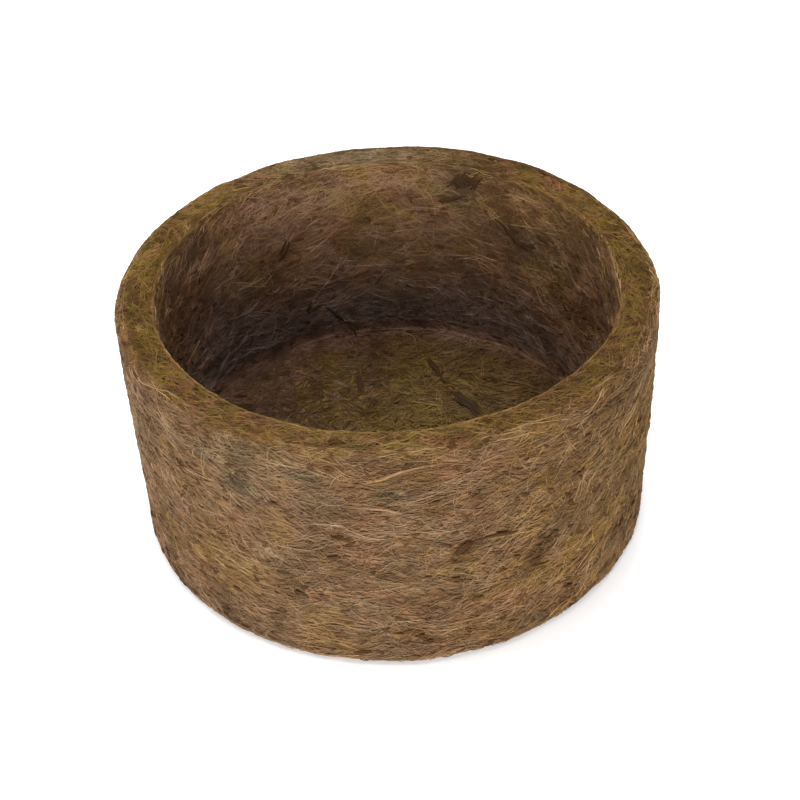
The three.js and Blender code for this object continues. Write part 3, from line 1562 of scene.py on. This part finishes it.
class CoirPot:
    """The whole pot, ply by ply."""

    def __init__(self, sizes: PotSizes) -> None:
        """Draws the outlines that the plies share.

        Args:
            sizes: The pot's sizes.
        """
        self.sizes = sizes
        self.outlines = Outlines(sizes)

    def plies(self) -> list[FeltPly]:
        """Lists the plies.

        Returns:
            The plies, from the outside in and from the ground up.
        """
        return [
            self.outer_wall(),
            self.core_batt(),
            self.lining(),
            self.underside(),
            self.hidden_disc("base_core_felt", "base_core_disc", Slot.RIM, RIM_TINTS),
            self.hidden_disc("base_inner_felt", "base_inner_disc", Slot.LINING, LINING_TINTS),
            self.floor_pad(),
        ]

    def outer_wall(self) -> FeltPly:
        """Describes the outer strip.

        Returns:
            The ply, with four layers of strands, wisps among pale locks, and its husk.
        """
        s = self.sizes
        moss_marks = (
            Patch(Stain.MOSS, angle, height, around=7, rise=4, strength=0.75)
            for angle, height in ((228, 86), (239, 92), (253, 89.5), (237, 78), (269.5, 83.5), (334, 87))
        )
        stains_and_painted_light = StainsAndPaintedLight(
            chance=(0.3, 0.6, 0.55, 0.25),
            patches=(
                *moss_marks,
                Patch(Stain.MOSS, angle=245, height=83, around=36, rise=11, strength=0.25),
                Patch(Stain.STRAW, angle=232, height=34, around=20, rise=10, strength=0.9),
                Patch(Stain.STRAW, angle=322, height=55, around=48, rise=50, strength=0.6),
                Patch(Stain.RUST, angle=277, height=91, around=26, rise=4, strength=0.6),
                Patch(Stain.RUST, angle=291, height=24, around=20, rise=7, strength=0.6),
                Patch(Stain.RUST, angle=299.5, height=40, around=5, rise=6, strength=0.9),
                Patch(Stain.SHADE, angle=299.5, height=39.5, around=5, rise=5.5, strength=0.65),
                Patch(Stain.RUST, angle=283.4, height=55.2, around=4, rise=3.5, strength=0.7),
                Patch(Stain.SHADE, angle=283.4, height=55.2, around=3.8, rise=3.2, strength=0.7),
                # Painted shade: a faint darkening over the right side of the wall, away from the lamps.
                Patch(Stain.SHADE, angle=328, height=50, around=50, rise=60, strength=0.05),
                Patch(Stain.SHADE, angle=274, height=97.5, around=16, rise=4, strength=0.12),
                Patch(Stain.SHADE, angle=272, height=43, around=16, rise=12, strength=0.08),
                Patch(Stain.SHADE, angle=238, height=86, around=16, rise=12, strength=-0.14),
                Patch(Stain.SHADE, angle=236, height=39, around=22, rise=10, strength=-0.07),
            ),
            bands=(
                Band(Stain.STRAW, Measure.HEIGHT, start=s.height - 4, full=s.height + 1, strength=0.25),
                # Painted shade: the wall darkens a little towards the foot.
                Band(Stain.SHADE, Measure.HEIGHT, start=34, full=10, strength=0.05),
            ),
        )
        hidden = [
            (s.face_at(s.outer_ply, s.core_depth), s.outer_ply),
            (s.hem_edge + s.outer_ply, s.outer_ply),
        ]
        body = FeltRing(
            "outer_wall_felt", "outer_wall_sheet", Slot.WALL, self.outlines.outer(), hidden,
            FeltFinish("wall_felt", WALL_TINTS), stains_and_painted_light,
        )
        bed = replace(WALL_BED, tint=(0.40, 0.12), seed=101)
        middle = replace(WALL_MIDDLE, lift=(0.1, 0.35), tint=(0.48, 0.12), stray=0.4, seed=102)
        upper = StrandLay(
            locks=3800, length=(4, 13), width=(0.18, 0.34), lift=(0.15, 0.4), steps=5,
            tint=(0.52, 0.12), curl=0.26, seed=105,
        )
        top = replace(
            SHORT_TOP, length=(4, 11), width=(0.17, 0.30), lift=(0.2, 0.5),
            tint=(0.58, 0.13), curl=0.28, seed=103,
        )
        wisps = StrandLay(
            locks=240, per_lock=3, length=(12, 32), width=(0.18, 0.32), lift=(0.4, 0.6), steps=10,
            tint=(0.85, 0.12), swing=0.6, drift=11, stray=0.15, loose=0.1, curl=0.06, spread=0.5, seed=106,
        )
        flecks = replace(
            FLECKS, locks=950, length=(3, 6.5), width=(0.9, 1.8), lift=(0.4, 0.65), bury=0.2,
            stray=0.35, tint=(0.36, 0.14), flatness=0.25, seed=104,
        )
        tufts = (
            Tuft(((296, 55), (290.5, 58.4), (284, 57)), strands=6, width=1.1, spread=0.4, tint=0.0),
            Tuft(((285.8, 57.6), (283, 56), (281.6, 52)), strands=13, width=1.2, spread=0.9),
            Tuft(((281.6, 53), (280.6, 50), (283, 48.6)), strands=3, width=0.8, spread=0.3, tint=0.5),
            Tuft(((297, 36), (304, 34.5)), strands=4, width=1.1, spread=0.7, tint=0.6),
            Tuft(((284.5, 30), (288, 29)), strands=3, width=1.6, spread=0.6, tint=0.5),
            Tuft(((268, 16.3), (270.6, 15.8)), strands=4, width=2.2, spread=0.7, tint=0.7),
            Tuft(((243.4, 74.5), (247.6, 73.4)), strands=3, width=1.4, spread=0.3),
            Tuft(((256.6, 63.4), (259.6, 62.4)), strands=2, width=1.5, spread=0.3),
            Tuft(((247.4, 33.8), (251.2, 32.4)), strands=3, width=1.4, spread=0.4),
        )
        pale_locks = (
            Tuft(
                ((261, 87), (267, 90), (270.5, 93.2), (275.6, 95), (281, 94.6)),
                strands=14, width=0.3, spread=0.7, tint=0.85, lift=0.8,
            ),
            Tuft(
                ((257, 76.6), (263, 78), (268, 77.4), (272, 74.4), (279, 71.6)),
                strands=9, width=0.3, spread=0.6, tint=0.8, lift=0.8,
            ),
        )
        coats = (
            Coat("outer_wall_bed_strands", bed, WALL_STRANDS),
            Coat("outer_wall_middle_strands", middle, WALL_STRANDS),
            Coat("outer_wall_upper_strands", upper, WALL_STRANDS),
            Coat("outer_wall_top_strands", top, WALL_STRANDS),
            Coat("outer_wall_wisps", wisps, WALL_STRANDS, pale_locks),
            Coat("outer_wall_husk_flecks", flecks, HUSK, tufts),
        )
        return FeltPly(body, WrapFace(self.outlines.outer_coat()), coats)

    def core_batt(self) -> FeltPly:
        """Describes the batt inside the wall.

        Returns:
            The ply, with the strands and husk that lie on the rim over all three plies of the wall.
        """
        s = self.sizes
        low = top_of("base_outer_disc") + s.bond
        hidden = [(s.face_at(low, depth), low) for depth in (s.lining_depth, s.core_depth)]
        across = partial(Patch, height=s.height, rise=ACROSS)
        stains_and_painted_light = StainsAndPaintedLight(
            chance=(0.15, 0.8, 0.9, 0.3),
            reach=9,
            patches=(
                across(Stain.MOSS, angle=98, around=42, strength=0.8),
                across(Stain.MOSS, angle=265, around=60, strength=0.07),
                Patch(Stain.MOSS, angle=258, height=96.5, around=14, rise=2.5, strength=0.35),
                across(Stain.STRAW, angle=8, around=50, strength=0.25),
                across(Stain.STRAW, angle=178, around=50, strength=0.25),
                # The next three shade patches are painted shade and painted light on the rim: darker at the
                # back of its outer edge and on the right, paler at the front.
                across(Stain.SHADE, angle=63, around=9, strength=0.35),
                across(Stain.SHADE, angle=5, around=60, strength=0.1),
                across(Stain.SHADE, angle=268, around=60, strength=-0.08),
                across(Stain.SHADE, angle=252, around=14, strength=-0.04),
            ),
        )
        body = FeltRing(
            "rim_batt_felt", "core_wall_batt", Slot.RIM, self.outlines.core(), hidden,
            FeltFinish("rim_felt", RIM_TINTS, around=4, rise=2), stains_and_painted_light,
        )
        bed = StrandLay(
            locks=1300, length=(8, 20), width=(0.24, 0.46), lift=(0.1, 0.3), tint=(0.42, 0.12), seed=111
        )
        top = replace(SHORT_TOP, locks=1900, tint=(0.54, 0.14), stray=0.6, curl=0.3, seed=112)
        # Pale strands along the front and right of the lip: a painted highlight on its edge.
        lip = StrandLay(
            locks=16, per_lock=1, length=(20, 46), width=(0.18, 0.30), lift=(0.3, 0.5), steps=12,
            tint=(0.65, 0.15), swing=0.0, stray=0.02, loose=0.01, curl=0.0, seed=114,
        )
        # Dark strands over the back of the rim's outer edge: painted shade where that rounding turns away
        # from the lamps.
        edge = StrandLay(
            locks=320, length=(8, 24), width=(0.22, 0.45), lift=(0.35, 0.6),
            tint=(0.0, 0.15), swing=0.0, stray=0.06, loose=0.05, curl=0.02, seed=115,
        )
        flecks = replace(
            FLECKS, locks=90, length=(2, 5), width=(0.6, 1.5), lift=(0.3, 0.5), tint=(0.5, 0.2), seed=113
        )
        tufts = (
            Tuft(((256.6, 93.2), (260, 92.8)), strands=12, width=1.4, spread=0.9, tint=-0.1),
            Tuft(((281, 97), (282.6, 97)), strands=10, width=1.2, spread=0.7, tint=-0.15),
        )
        lip_highlight_face = WrapFace(self.outlines.lip(), sector=(195, 385))
        shaded_edge_face = WrapFace(self.outlines.rim_edge(), sector=(35, 95))
        coats = (
            Coat("rim_bed_strands", bed, RIM_STRANDS),
            Coat("rim_top_strands", top, RIM_STRANDS),
            Coat("rim_lip_highlight_strands", lip, RIM_STRANDS, own_face=lip_highlight_face),
            Coat("rim_edge_painted_shade_strands", edge, RIM_STRANDS, own_face=shaded_edge_face),
            Coat("rim_husk_flecks", flecks, HUSK, tufts),
        )
        return FeltPly(body, WrapFace(self.outlines.rim(), levels=Measure.RADIUS), coats)

    def lining(self) -> FeltPly:
        """Describes the inner strip.

        Returns:
            The ply, with three layers of strands, wisps and its husk.
        """
        s = self.sizes
        stains_and_painted_light = StainsAndPaintedLight(
            chance=(0.15, 0.8, 0.8, 0.25),
            patches=(
                Patch(Stain.STRAW, angle=48, height=80, around=40, rise=25, strength=0.6),
                # The shade patches from here down to the one at 144° are painted light and painted shade on
                # the inside of the wall: paler over the top of the back, at 44° and low on both sides; darker
                # over the left and the upper right.
                Patch(Stain.SHADE, angle=97, height=91, around=46, rise=15, strength=-0.54),
                Patch(Stain.SHADE, angle=21, height=74, around=30, rise=22, strength=0.2),
                Patch(Stain.SHADE, angle=172, height=70, around=40, rise=26, strength=0.26),
                Patch(Stain.SHADE, angle=155, height=34, around=40, rise=16, strength=-0.14),
                Patch(Stain.SHADE, angle=22, height=44, around=36, rise=20, strength=-0.12),
                Patch(Stain.SHADE, angle=44, height=64, around=16, rise=12, strength=-0.2),
                Patch(Stain.SHADE, angle=155, height=88, around=18, rise=10, strength=0.12),
                Patch(Stain.SHADE, angle=144, height=50, around=18, rise=14, strength=-0.14),
                Patch(Stain.MOSS, angle=144, height=50, around=20, rise=16, strength=0.5),
                Patch(Stain.SHADE, angle=68.4, height=92, around=5.5, rise=6, strength=0.9),
                Patch(Stain.MOSS, angle=67.5, height=91, around=8, rise=8, strength=0.4),
                Patch(Stain.MOSS, angle=22, height=38, around=36, rise=18, strength=-0.4),
                Patch(Stain.SHADE, angle=119, height=68, around=9, rise=10, strength=0.2),
                # Painted light: paler low on the back left, near the crease.
                Patch(Stain.SHADE, angle=114, height=36, around=14, rise=9, strength=-0.16),
                Patch(Stain.SHADE, angle=60, height=90, around=10, rise=6, strength=0.3),
                Patch(Stain.SHADE, angle=72, height=83.4, around=6, rise=2.5, strength=0.5),
                Patch(Stain.SHADE, angle=56, height=76, around=4.5, rise=4.5, strength=0.5),
                Patch(Stain.SHADE, angle=49, height=70.5, around=8, rise=3.5, strength=0.5),
                Patch(Stain.MOSS, angle=49, height=73, around=16, rise=6, strength=0.5),
                Patch(Stain.SHADE, angle=42, height=78.5, around=6, rise=3.5, strength=0.4),
                Patch(Stain.SHADE, angle=57, height=87.5, around=5, rise=4.5, strength=0.3),
            ),
            bands=(
                Band(Stain.STRAW, Measure.HEIGHT, start=s.height - 6, full=s.height, strength=0.8),
                # Painted shade: a cool grey moss tint that deepens towards the bottom of the inside, as the
                # colour of the shade there.
                Band(Stain.MOSS, Measure.HEIGHT, start=58, full=24),
            ),
            seed=50,
        )
        hidden = [(s.face_at(s.pad_foot, s.lining_depth), s.pad_foot)]
        body = FeltRing(
            "lining_felt", "inner_wall_sheet", Slot.LINING, self.outlines.lining(), hidden,
            FeltFinish("lining_felt", LINING_TINTS, LINING_MOTTLING), stains_and_painted_light,
        )
        bed = replace(WALL_BED, tint=(0.32, 0.13), seed=121)
        middle = replace(WALL_MIDDLE, tint=(0.40, 0.15), stray=0.65, seed=124)
        top = replace(
            SHORT_TOP, length=(5, 17), lift=(0.15, 0.45), tint=(0.52, 0.24), stray=0.75, curl=0.34, seed=122
        )
        wisps = StrandLay(
            locks=200, per_lock=3, length=(8, 26), width=(0.18, 0.30), lift=(0.4, 0.6),
            tint=(0.85, 0.12), spread=0.5, seed=126,
        )
        flecks = replace(FLECKS, stray=0.4, tint=(0.5, 0.22), seed=123)
        tufts = (
            Tuft(((66.4, 97), (68.6, 93.5), (70.4, 89.5)), strands=34, width=1.2, spread=1.7, tint=-0.3),
            Tuft(((61.6, 97.4), (64.4, 94.5), (67, 89.5)), strands=16, width=1.0, spread=1.9, tint=0.1),
            Tuft(((67.4, 85.8), (71.6, 84), (75.8, 81.8)), strands=12, width=1.2, spread=0.6, tint=-0.3),
            Tuft(((56.8, 77.5), (47, 68.5)), strands=10, width=1.2, spread=0.9, tint=-0.3),
            Tuft(((54.5, 80), (50, 75.5)), strands=7, width=1.0, spread=0.8, tint=-0.1),
            Tuft(((50.5, 71.5), (43.5, 73.5)), strands=8, width=1.0, spread=0.9, tint=-0.1),
            Tuft(((45.5, 79), (38.6, 77)), strands=7, width=1.2, spread=0.8, tint=-0.1),
            Tuft(((117.4, 72), (119.5, 67.2), (121.4, 62.2)), strands=8, width=1.2, spread=1.2, tint=0.0),
            Tuft(((112.7, 40.5), (115.1, 32)), strands=4, width=1.0, spread=0.8, tint=0.1),
            Tuft(((109.4, 35.5), (106.5, 30.8), (102.6, 23.4)), strands=4, width=1.1, spread=0.25, tint=-0.3),
        )
        coats = (
            Coat("lining_bed_strands", bed, LINING_STRANDS),
            Coat("lining_middle_strands", middle, LINING_STRANDS),
            Coat("lining_top_strands", top, LINING_STRANDS),
            Coat("lining_wisps", wisps, LINING_STRANDS),
            Coat("lining_husk_flecks", flecks, HUSK, tufts),
        )
        return FeltPly(body, WrapFace(self.outlines.lining_coat()), coats)

    def underside(self) -> FeltPly:
        """Describes the disc under the base.

        Returns:
            The ply, with its strands and husk.
        """
        s = self.sizes
        outline = self.outlines.underside()
        hidden = [(s.hem_edge + s.outer_ply, s.outer_ply)]
        body = FeltDisc(
            "underside_felt", "base_outer_disc", Slot.WALL, outline, hidden,
            FeltFinish("underside_felt", WALL_TINTS, around=3), StainsAndPaintedLight(seed=60),
        )
        strands = StrandLay(
            locks=1500, per_lock=3, length=(16, 40), width=(0.28, 0.5), lift=(0.0, 0.35),
            swing=DISC_SWING, tint=(0.48, 0.15), seed=131,
        )
        flecks = replace(
            FLECKS, locks=120, length=(2.5, 6), width=(0.9, 1.8), lift=(0.2, 0.4), bury=0.7,
            swing=DISC_SWING, seed=132,
        )
        coats = (
            Coat("underside_strands", strands, WALL_STRANDS),
            Coat("underside_husk_flecks", flecks, HUSK),
        )
        return FeltPly(body, DiscFace(outline), coats)

    def hidden_disc(self, name: str, node: str, slot: Slot, tints: CoirTints) -> FeltPly:
        """Describes a disc sealed inside the base.

        Args:
            name: The piece's name.
            node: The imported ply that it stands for.
            slot: The record's slot of its finish.
            tints: Its tints.

        Returns:
            The ply, with no strands on it.
        """
        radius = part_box(node)[1].x / MM
        outline = Outline([(radius, top_of(node)), (0.0, top_of(node))])
        body = FeltDisc(
            name, node, slot, outline, [(radius, foot_of(node))],
            FeltFinish(name, tints, around=3), StainsAndPaintedLight(), points_around=120, ring_gap=4,
        )
        return FeltPly(body, DiscFace(outline))

    def floor_pad(self) -> FeltPly:
        """Describes the pad on the floor, which is reddish where it meets the wall.

        Returns:
            The ply, with its strands, crease and husk.
        """
        s = self.sizes
        outline = self.outlines.pad()
        edge = s.face_at(s.pad_foot, s.wall)
        across = partial(Patch, height=s.floor, rise=ACROSS)
        stains_and_painted_light = StainsAndPaintedLight(
            chance=(0.5, 0.9, 0.6, 0.3),
            patches=(
                across(Stain.RUST, angle=142, around=24, strength=0.4),
                # Painted shadow: darker over the left of the floor, in the wall's shade.
                across(Stain.SHADE, angle=142, around=28, strength=0.3),
                across(Stain.RUST, angle=40, around=40, strength=-0.5),
                # The next two shade patches are painted light: paler across the back and the front of the
                # floor.
                across(Stain.SHADE, angle=75, around=40, strength=-0.08),
                across(Stain.SHADE, angle=270, around=30, strength=-0.12),
            ),
            bands=(
                Band(Stain.RUST, Measure.RADIUS, start=edge - 15, full=edge - 4),
                Band(Stain.STRAW, Measure.RADIUS, start=50, full=20, strength=0.6),
                # Painted light: paler towards the middle of the floor, where light reaches past the wall.
                Band(Stain.SHADE, Measure.RADIUS, start=40, full=14, strength=-0.45),
            ),
            seed=70,
        )
        body = FeltDisc(
            "floor_felt", "floor_pad", Slot.FLOOR, outline, [(edge, s.pad_foot)],
            FeltFinish("floor_felt", FLOOR_TINTS, around=3), stains_and_painted_light,
        )
        bed = StrandLay(
            locks=1300, length=(12, 28), width=(0.28, 0.5), lift=(0.0, 0.25),
            swing=DISC_SWING, stray=1.5, tint=(0.44, 0.1), seed=141,
        )
        top = StrandLay(
            locks=1700, length=(5, 15), width=(0.20, 0.38), lift=(0.1, 0.35), steps=5,
            swing=DISC_SWING, stray=1.5, curl=0.3, tint=(0.52, 0.07), seed=142,
        )
        crease = StrandLay(
            locks=900, length=(6, 22), width=(0.24, 0.44), lift=(0.0, 0.4),
            curl=0.2, tint=(0.48, 0.12), seed=144,
        )
        flecks = replace(
            FLECKS, locks=70, length=(2.5, 6.5), lift=(0.3, 0.5),
            swing=DISC_SWING, stray=1.5, tint=(0.25, 0.12), seed=143,
        )
        tufts = (
            Tuft(((14.4, 61), (21.5, 42)), strands=11, width=1.3, spread=0.8, tint=-0.4),
            Tuft(((-14.4, 48), (-12.4, 36)), strands=9, width=1.3, spread=0.9, tint=-0.2),
            Tuft(((23, 38), (37, 17)), strands=14, width=1.1, spread=2.2, tint=-0.1),
            Tuft(
                ((-17.4, 82.4), (-15.8, 79.6), (-14, 75)),
                strands=4, width=1.0, spread=0.25, tint=-0.3, lift=1.9,
            ),
        )
        coats = (
            Coat("floor_bed_strands", bed, FLOOR_STRANDS),
            Coat("floor_top_strands", top, FLOOR_STRANDS),
            Coat("floor_crease_strands", crease, FLOOR_STRANDS, own_face=WrapFace(self.outlines.crease())),
            Coat("floor_husk_flecks", flecks, FLOOR_HUSK, tufts),
        )
        return FeltPly(body, DiscFace(outline), coats)


@dataclass(frozen=True)
class Lamp:
    """A soft lamp that faces the pot."""

    name: str
    watts: float
    width: float
    height: float
    place: Place

    def build(self) -> None:
        """Makes the lamp and turns it to the pot."""
        data = bpy.data.lights.new(self.name, "AREA")
        data.shape = "RECTANGLE"
        data.energy, data.size, data.size_y = self.watts, self.width, self.height
        lamp = bpy.data.objects.new(self.name, data)
        lamp.location = self.place
        lamp.rotation_euler = Vector(self.place).to_track_quat("Z", "Y").to_euler()
        bpy.context.scene.collection.objects.link(lamp)


@dataclass(frozen=True)
class Studio:
    """The camera at the photographed angle, soft light and a plain pale floor, all in metres."""

    distance: float = 0.72
    elevation: float = math.radians(38.275)
    roll: float = math.radians(-2.363)
    target: Place = (0.0031, 0.0, 0.0447)
    focal_pixels: float = 1862.7
    picture_pixels: float = 800.0
    sensor: float = 36.0
    sky: Colour = (0.3, 0.3, 0.305)
    lamps: tuple[Lamp, ...] = (
        Lamp("front_lamp", watts=29.0, width=1.2, height=0.7, place=(-0.15, -1.5, 0.38)),
        Lamp("top_lamp", watts=30.0, width=0.7, height=1.5, place=(0.0, 0.3, 1.45)),
        Lamp("side_lamp", watts=5.0, width=0.7, height=0.7, place=(-0.8, 0.0, 1.5)),
    )
    floor_size: float = 12.0
    floor_tint: Colour = (0.9, 0.9, 0.9)
    floor_lift: float = 0.25

    def build(self) -> None:
        """Makes the camera, the light and the floor."""
        self.camera()
        self.light()
        self.floor()

    def camera(self) -> None:
        """Places the camera, turned a little about its own line of sight."""
        back = Vector((0, -math.cos(self.elevation), math.sin(self.elevation)))
        right = Vector((1, 0, 0))
        up = back.cross(right)
        c, s = math.cos(self.roll), math.sin(self.roll)
        turned_right, turned_up = c * right + s * up, c * up - s * right
        camera = bpy.data.objects.new("camera", bpy.data.cameras.new("camera"))
        camera.data.sensor_width = self.sensor
        camera.data.lens = self.focal_pixels * self.sensor / self.picture_pixels
        turn = Matrix((turned_right, turned_up, back)).transposed()
        camera.matrix_world = Matrix.Translation(Vector(self.target) + back * self.distance) @ turn.to_4x4()
        bpy.context.scene.collection.objects.link(camera)
        bpy.context.scene.camera = camera

    def light(self) -> None:
        """An even dim sky with large soft lamps."""
        for lamp in self.lamps:
            lamp.build()
        world = bpy.data.worlds.new("sky")
        world.use_nodes = True
        nodes = world.node_tree.nodes
        nodes["Background"].inputs["Color"].default_value = (*self.sky, 1.0)
        bpy.context.scene.world = world

    def floor(self) -> None:
        """A pale floor that keeps the pot's shadow, lifted to white where it is seen but not as a light."""
        half = self.floor_size / 2
        corners = [(-half, -half, 0), (half, -half, 0), (half, half, 0), (-half, half, 0)]
        mesh = bpy.data.meshes.new("studio_floor")
        mesh.from_pydata(corners, [], [(0, 1, 2, 3)])
        floor = bpy.data.objects.new("studio_floor", mesh)
        bpy.context.scene.collection.objects.link(floor)
        nodes = Nodes("studio_floor")
        matte = nodes.add("BsdfDiffuse", Color=(*self.floor_tint, 1.0)).outputs["BSDF"]
        path = nodes.add("LightPath").outputs
        seen = nodes.maths("MAXIMUM", path["Is Camera Ray"], path["Is Glossy Ray"])
        seen = nodes.maths("MAXIMUM", seen, path["Is Transmission Ray"])
        lift = nodes.maths("MULTIPLY", seen, self.floor_lift)
        glow = nodes.add("Emission", Strength=lift).outputs["Emission"]
        both = nodes.add("AddShader")
        nodes.feed(both.inputs[0], matte)
        nodes.feed(both.inputs[1], glow)
        mesh.materials.append(nodes.close(both.outputs["Shader"]))


def main() -> None:
    """Builds the pot and its studio."""
    logging.basicConfig(level=logging.INFO, format="%(message)s")
    bpy.context.scene.view_settings.view_transform = "Standard"
    Studio().build()
    for ply in CoirPot(PotSizes()).plies():
        ply.build()


if __name__ == "__main__":
    main()
